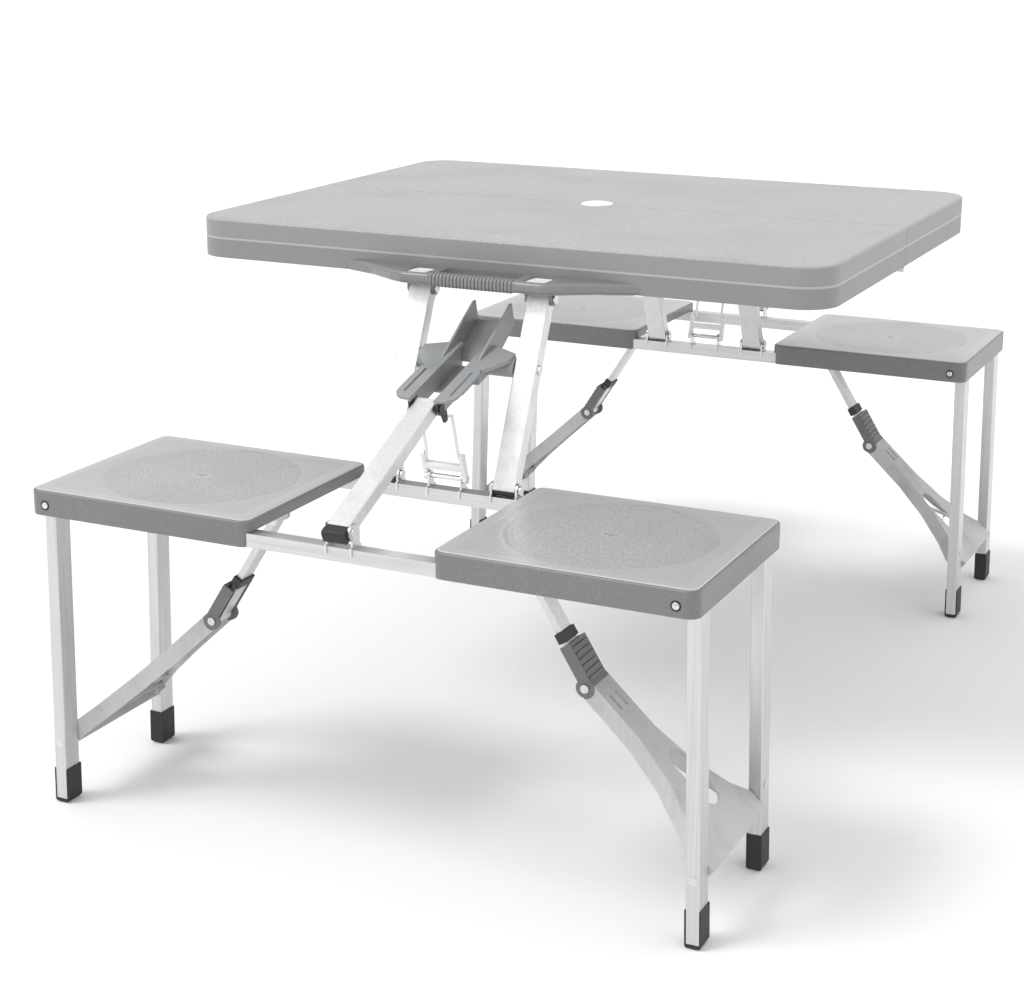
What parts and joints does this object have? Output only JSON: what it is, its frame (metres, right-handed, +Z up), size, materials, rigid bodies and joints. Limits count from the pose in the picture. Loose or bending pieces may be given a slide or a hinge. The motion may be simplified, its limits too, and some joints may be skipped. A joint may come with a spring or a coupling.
{
  "type": "folding picnic table with seats",
  "caption": "Suitcase-style folding picnic table with an attached seat at each corner, folding legs, braces and a centre umbrella hole.",
  "frame": {"origin": "on the floor under the centre of the table top", "axes": "+X along the table's seam, +Y across the table towards the rear seats, +Z up"},
  "size_m": [0.8502, 1.4296, 0.68],
  "materials": {
    "top_plastic": "grained light grey table plastic",
    "rim_plastic": "mid-grey edge plastic",
    "seat_plastic": "grained light grey seat plastic",
    "aluminium": "satin aluminium tube",
    "casting_grey": "mid-grey moulding",
    "steel": "bright rivets and pins",
    "black_plastic": "near-black caps",
    "white_plastic": "white toggle plastic"
  },
  "bodies": {
    "table_front": {"front_top_shell": "top_plastic", "front_rim_frame": "rim_plastic", "front_handle": "rim_plastic", "front_seam_hinge": "steel"},
    "table_rear": {"rear_top_shell": "top_plastic", "rear_rim_frame": "rim_plastic", "rear_handle": "rim_plastic", "rear_seam_hinge": "steel"},
    "hole_cap": {"hole_cap": "white_plastic"},
    "front_supports": {"front_support_tubes": "aluminium", "front_support_caps": "black_plastic", "front_support_pins": "steel"},
    "front_seat_frame": {"front_rails": "aluminium", "front_right_seat": "seat_plastic", "front_left_seat": "seat_plastic", "front_brackets": "steel", "front_brace_brackets": "steel", "front_frame_pins": "steel", "front_seat_screws": "steel"},
    "front_brace_tube": {"front_diagonal_tube": "aluminium", "front_tube_plugs": "black_plastic"},
    "front_brace_casting": {"front_casting": "casting_grey"},
    "front_toggle_lever": {"front_toggle_lever": "white_plastic"},
    "front_toggle_bail": {"front_toggle_bail": "white_plastic"},
    "front_right_leg_pair": {"front_right_legs": "aluminium", "front_right_foot_caps": "black_plastic", "front_right_leg_rivets": "steel"},
    "front_right_brace_bar": {"front_right_brace_bar": "aluminium"},
    "front_right_brace_plate": {"front_right_brace_plate": "casting_grey"},
    "front_left_leg_pair": {"front_left_legs": "aluminium", "front_left_foot_caps": "black_plastic", "front_left_leg_rivets": "steel"},
    "front_left_brace_bar": {"front_left_brace_bar": "aluminium"},
    "front_left_brace_plate": {"front_left_brace_plate": "casting_grey"},
    "rear_supports": {"rear_support_tubes": "aluminium", "rear_support_caps": "black_plastic", "rear_support_pins": "steel"},
    "rear_seat_frame": {"rear_rails": "aluminium", "rear_right_seat": "seat_plastic", "rear_left_seat": "seat_plastic", "rear_brackets": "steel", "rear_brace_brackets": "steel", "rear_frame_pins": "steel", "rear_seat_screws": "steel"},
    "rear_brace_tube": {"rear_diagonal_tube": "aluminium", "rear_tube_plugs": "black_plastic"},
    "rear_brace_casting": {"rear_casting": "casting_grey"},
    "rear_toggle_lever": {"rear_toggle_lever": "white_plastic"},
    "rear_toggle_bail": {"rear_toggle_bail": "white_plastic"},
    "rear_right_leg_pair": {"rear_right_legs": "aluminium", "rear_right_foot_caps": "black_plastic", "rear_right_leg_rivets": "steel"},
    "rear_right_brace_bar": {"rear_right_brace_bar": "aluminium"},
    "rear_right_brace_plate": {"rear_right_brace_plate": "casting_grey"},
    "rear_left_leg_pair": {"rear_left_legs": "aluminium", "rear_left_foot_caps": "black_plastic", "rear_left_leg_rivets": "steel"},
    "rear_left_brace_bar": {"rear_left_brace_bar": "aluminium"},
    "rear_left_brace_plate": {"rear_left_brace_plate": "casting_grey"}
  },
  "joints": [
    {"name": "seam_fold", "type": "hinge", "parent": "table_front", "child": "table_rear", "pos_m": [0, 0, 0.622], "axis": [-1, 0, 0], "range_deg": [0, 60]},
    {"name": "cap_lift", "type": "slide", "parent": "table_front", "child": "hole_cap", "axis": [0, 0, 1], "range_m": [0, 0.03]},
    {"name": "front_support_fold", "type": "hinge", "parent": "table_front", "child": "front_supports", "pos_m": [0, -0.352, 0.616], "axis": [1, 0, 0], "range_deg": [0, 102]},
    {"name": "front_seat_frame_level", "type": "hinge", "parent": "front_supports", "child": "front_seat_frame", "pos_m": [0, -0.446, 0.404], "axis": [1, 0, 0], "range_deg": [-103, 1]},
    {"name": "front_brace_tube_turn", "type": "hinge", "parent": "front_seat_frame", "child": "front_brace_tube", "pos_m": [0, -0.7, 0.414], "axis": [1, 0, 0], "range_deg": [-24.61, 1]},
    {"name": "front_brace_casting_turn", "type": "hinge", "parent": "front_supports", "child": "front_brace_casting", "pos_m": [0, -0.38723, 0.53655], "axis": [1, 0, 0], "range_deg": [-1, 54.49]},
    {"name": "front_toggle_lever_turn", "type": "hinge", "parent": "front_seat_frame", "child": "front_toggle_lever", "pos_m": [0, -0.446, 0.409], "axis": [-1, 0, 0], "range_deg": [0, 75]},
    {"name": "front_toggle_bail_turn", "type": "hinge", "parent": "front_toggle_lever", "child": "front_toggle_bail", "pos_m": [0, -0.456, 0.438], "axis": [-1, 0, 0], "range_deg": [-31, 1]},
    {"name": "front_right_leg_fold", "type": "hinge", "parent": "front_seat_frame", "child": "front_right_leg_pair", "pos_m": [0.403, -0.5695, 0.387], "axis": [0, 1, 0], "range_deg": [0, 90]},
    {"name": "front_right_brace_bar_turn", "type": "hinge", "parent": "front_seat_frame", "child": "front_right_brace_bar", "pos_m": [0.159, -0.5695, 0.372], "axis": [0, -1, 0], "range_deg": [-1, 52.76]},
    {"name": "front_right_brace_knee_turn", "type": "hinge", "parent": "front_right_brace_bar", "child": "front_right_brace_plate", "pos_m": [0.245, -0.5695, 0.234], "axis": [0, -1, 0], "range_deg": [-196.22, 1]},
    {"name": "front_left_leg_fold", "type": "hinge", "parent": "front_seat_frame", "child": "front_left_leg_pair", "pos_m": [-0.403, -0.5695, 0.387], "axis": [0, -1, 0], "range_deg": [0, 90]},
    {"name": "front_left_brace_bar_turn", "type": "hinge", "parent": "front_seat_frame", "child": "front_left_brace_bar", "pos_m": [-0.159, -0.5695, 0.372], "axis": [0, 1, 0], "range_deg": [-1, 52.76]},
    {"name": "front_left_brace_knee_turn", "type": "hinge", "parent": "front_left_brace_bar", "child": "front_left_brace_plate", "pos_m": [-0.245, -0.5695, 0.234], "axis": [0, 1, 0], "range_deg": [-196.22, 1]},
    {"name": "rear_support_fold", "type": "hinge", "parent": "table_rear", "child": "rear_supports", "pos_m": [0, 0.352, 0.616], "axis": [-1, 0, 0], "range_deg": [0, 102]},
    {"name": "rear_seat_frame_level", "type": "hinge", "parent": "rear_supports", "child": "rear_seat_frame", "pos_m": [0, 0.446, 0.404], "axis": [-1, 0, 0], "range_deg": [-103, 1]},
    {"name": "rear_brace_tube_turn", "type": "hinge", "parent": "rear_seat_frame", "child": "rear_brace_tube", "pos_m": [0, 0.7, 0.414], "axis": [-1, 0, 0], "range_deg": [-24.61, 1]},
    {"name": "rear_brace_casting_turn", "type": "hinge", "parent": "rear_supports", "child": "rear_brace_casting", "pos_m": [0, 0.38723, 0.53655], "axis": [-1, 0, 0], "range_deg": [-1, 54.49]},
    {"name": "rear_toggle_lever_turn", "type": "hinge", "parent": "rear_seat_frame", "child": "rear_toggle_lever", "pos_m": [0, 0.446, 0.409], "axis": [1, 0, 0], "range_deg": [0, 75]},
    {"name": "rear_toggle_bail_turn", "type": "hinge", "parent": "rear_toggle_lever", "child": "rear_toggle_bail", "pos_m": [0, 0.456, 0.438], "axis": [1, 0, 0], "range_deg": [-31, 1]},
    {"name": "rear_right_leg_fold", "type": "hinge", "parent": "rear_seat_frame", "child": "rear_right_leg_pair", "pos_m": [0.403, 0.5695, 0.387], "axis": [0, 1, 0], "range_deg": [0, 90]},
    {"name": "rear_right_brace_bar_turn", "type": "hinge", "parent": "rear_seat_frame", "child": "rear_right_brace_bar", "pos_m": [0.159, 0.5695, 0.372], "axis": [0, -1, 0], "range_deg": [-1, 52.76]},
    {"name": "rear_right_brace_knee_turn", "type": "hinge", "parent": "rear_right_brace_bar", "child": "rear_right_brace_plate", "pos_m": [0.245, 0.5695, 0.234], "axis": [0, -1, 0], "range_deg": [-196.22, 1]},
    {"name": "rear_left_leg_fold", "type": "hinge", "parent": "rear_seat_frame", "child": "rear_left_leg_pair", "pos_m": [-0.403, 0.5695, 0.387], "axis": [0, -1, 0], "range_deg": [0, 90]},
    {"name": "rear_left_brace_bar_turn", "type": "hinge", "parent": "rear_seat_frame", "child": "rear_left_brace_bar", "pos_m": [-0.159, 0.5695, 0.372], "axis": [0, 1, 0], "range_deg": [-1, 52.76]},
    {"name": "rear_left_brace_knee_turn", "type": "hinge", "parent": "rear_left_brace_bar", "child": "rear_left_brace_plate", "pos_m": [-0.245, 0.5695, 0.234], "axis": [0, 1, 0], "range_deg": [-196.22, 1]}
  ],
  "couplings": [
    {"joint": "front_seat_frame_level", "follows": "front_support_fold", "ratio": -1},
    {"joint": "front_brace_tube_turn", "follows": "front_support_fold", "ratio": -0.23144},
    {"joint": "front_brace_casting_turn", "follows": "front_support_fold", "ratio": 0.52441},
    {"joint": "front_toggle_bail_turn", "follows": "front_toggle_lever_turn", "ratio": -0.4},
    {"joint": "front_right_brace_bar_turn", "follows": "front_right_leg_fold", "ratio": 0.57516},
    {"joint": "front_right_brace_knee_turn", "follows": "front_right_leg_fold", "ratio": -2.1692},
    {"joint": "front_left_brace_bar_turn", "follows": "front_left_leg_fold", "ratio": 0.57516},
    {"joint": "front_left_brace_knee_turn", "follows": "front_left_leg_fold", "ratio": -2.1692},
    {"joint": "rear_seat_frame_level", "follows": "rear_support_fold", "ratio": -1},
    {"joint": "rear_brace_tube_turn", "follows": "rear_support_fold", "ratio": -0.23144},
    {"joint": "rear_brace_casting_turn", "follows": "rear_support_fold", "ratio": 0.52441},
    {"joint": "rear_toggle_bail_turn", "follows": "rear_toggle_lever_turn", "ratio": -0.4},
    {"joint": "rear_right_brace_bar_turn", "follows": "rear_right_leg_fold", "ratio": 0.57516},
    {"joint": "rear_right_brace_knee_turn", "follows": "rear_right_leg_fold", "ratio": -2.1692},
    {"joint": "rear_left_brace_bar_turn", "follows": "rear_left_leg_fold", "ratio": 0.57516},
    {"joint": "rear_left_brace_knee_turn", "follows": "rear_left_leg_fold", "ratio": -2.1692}
  ]
}
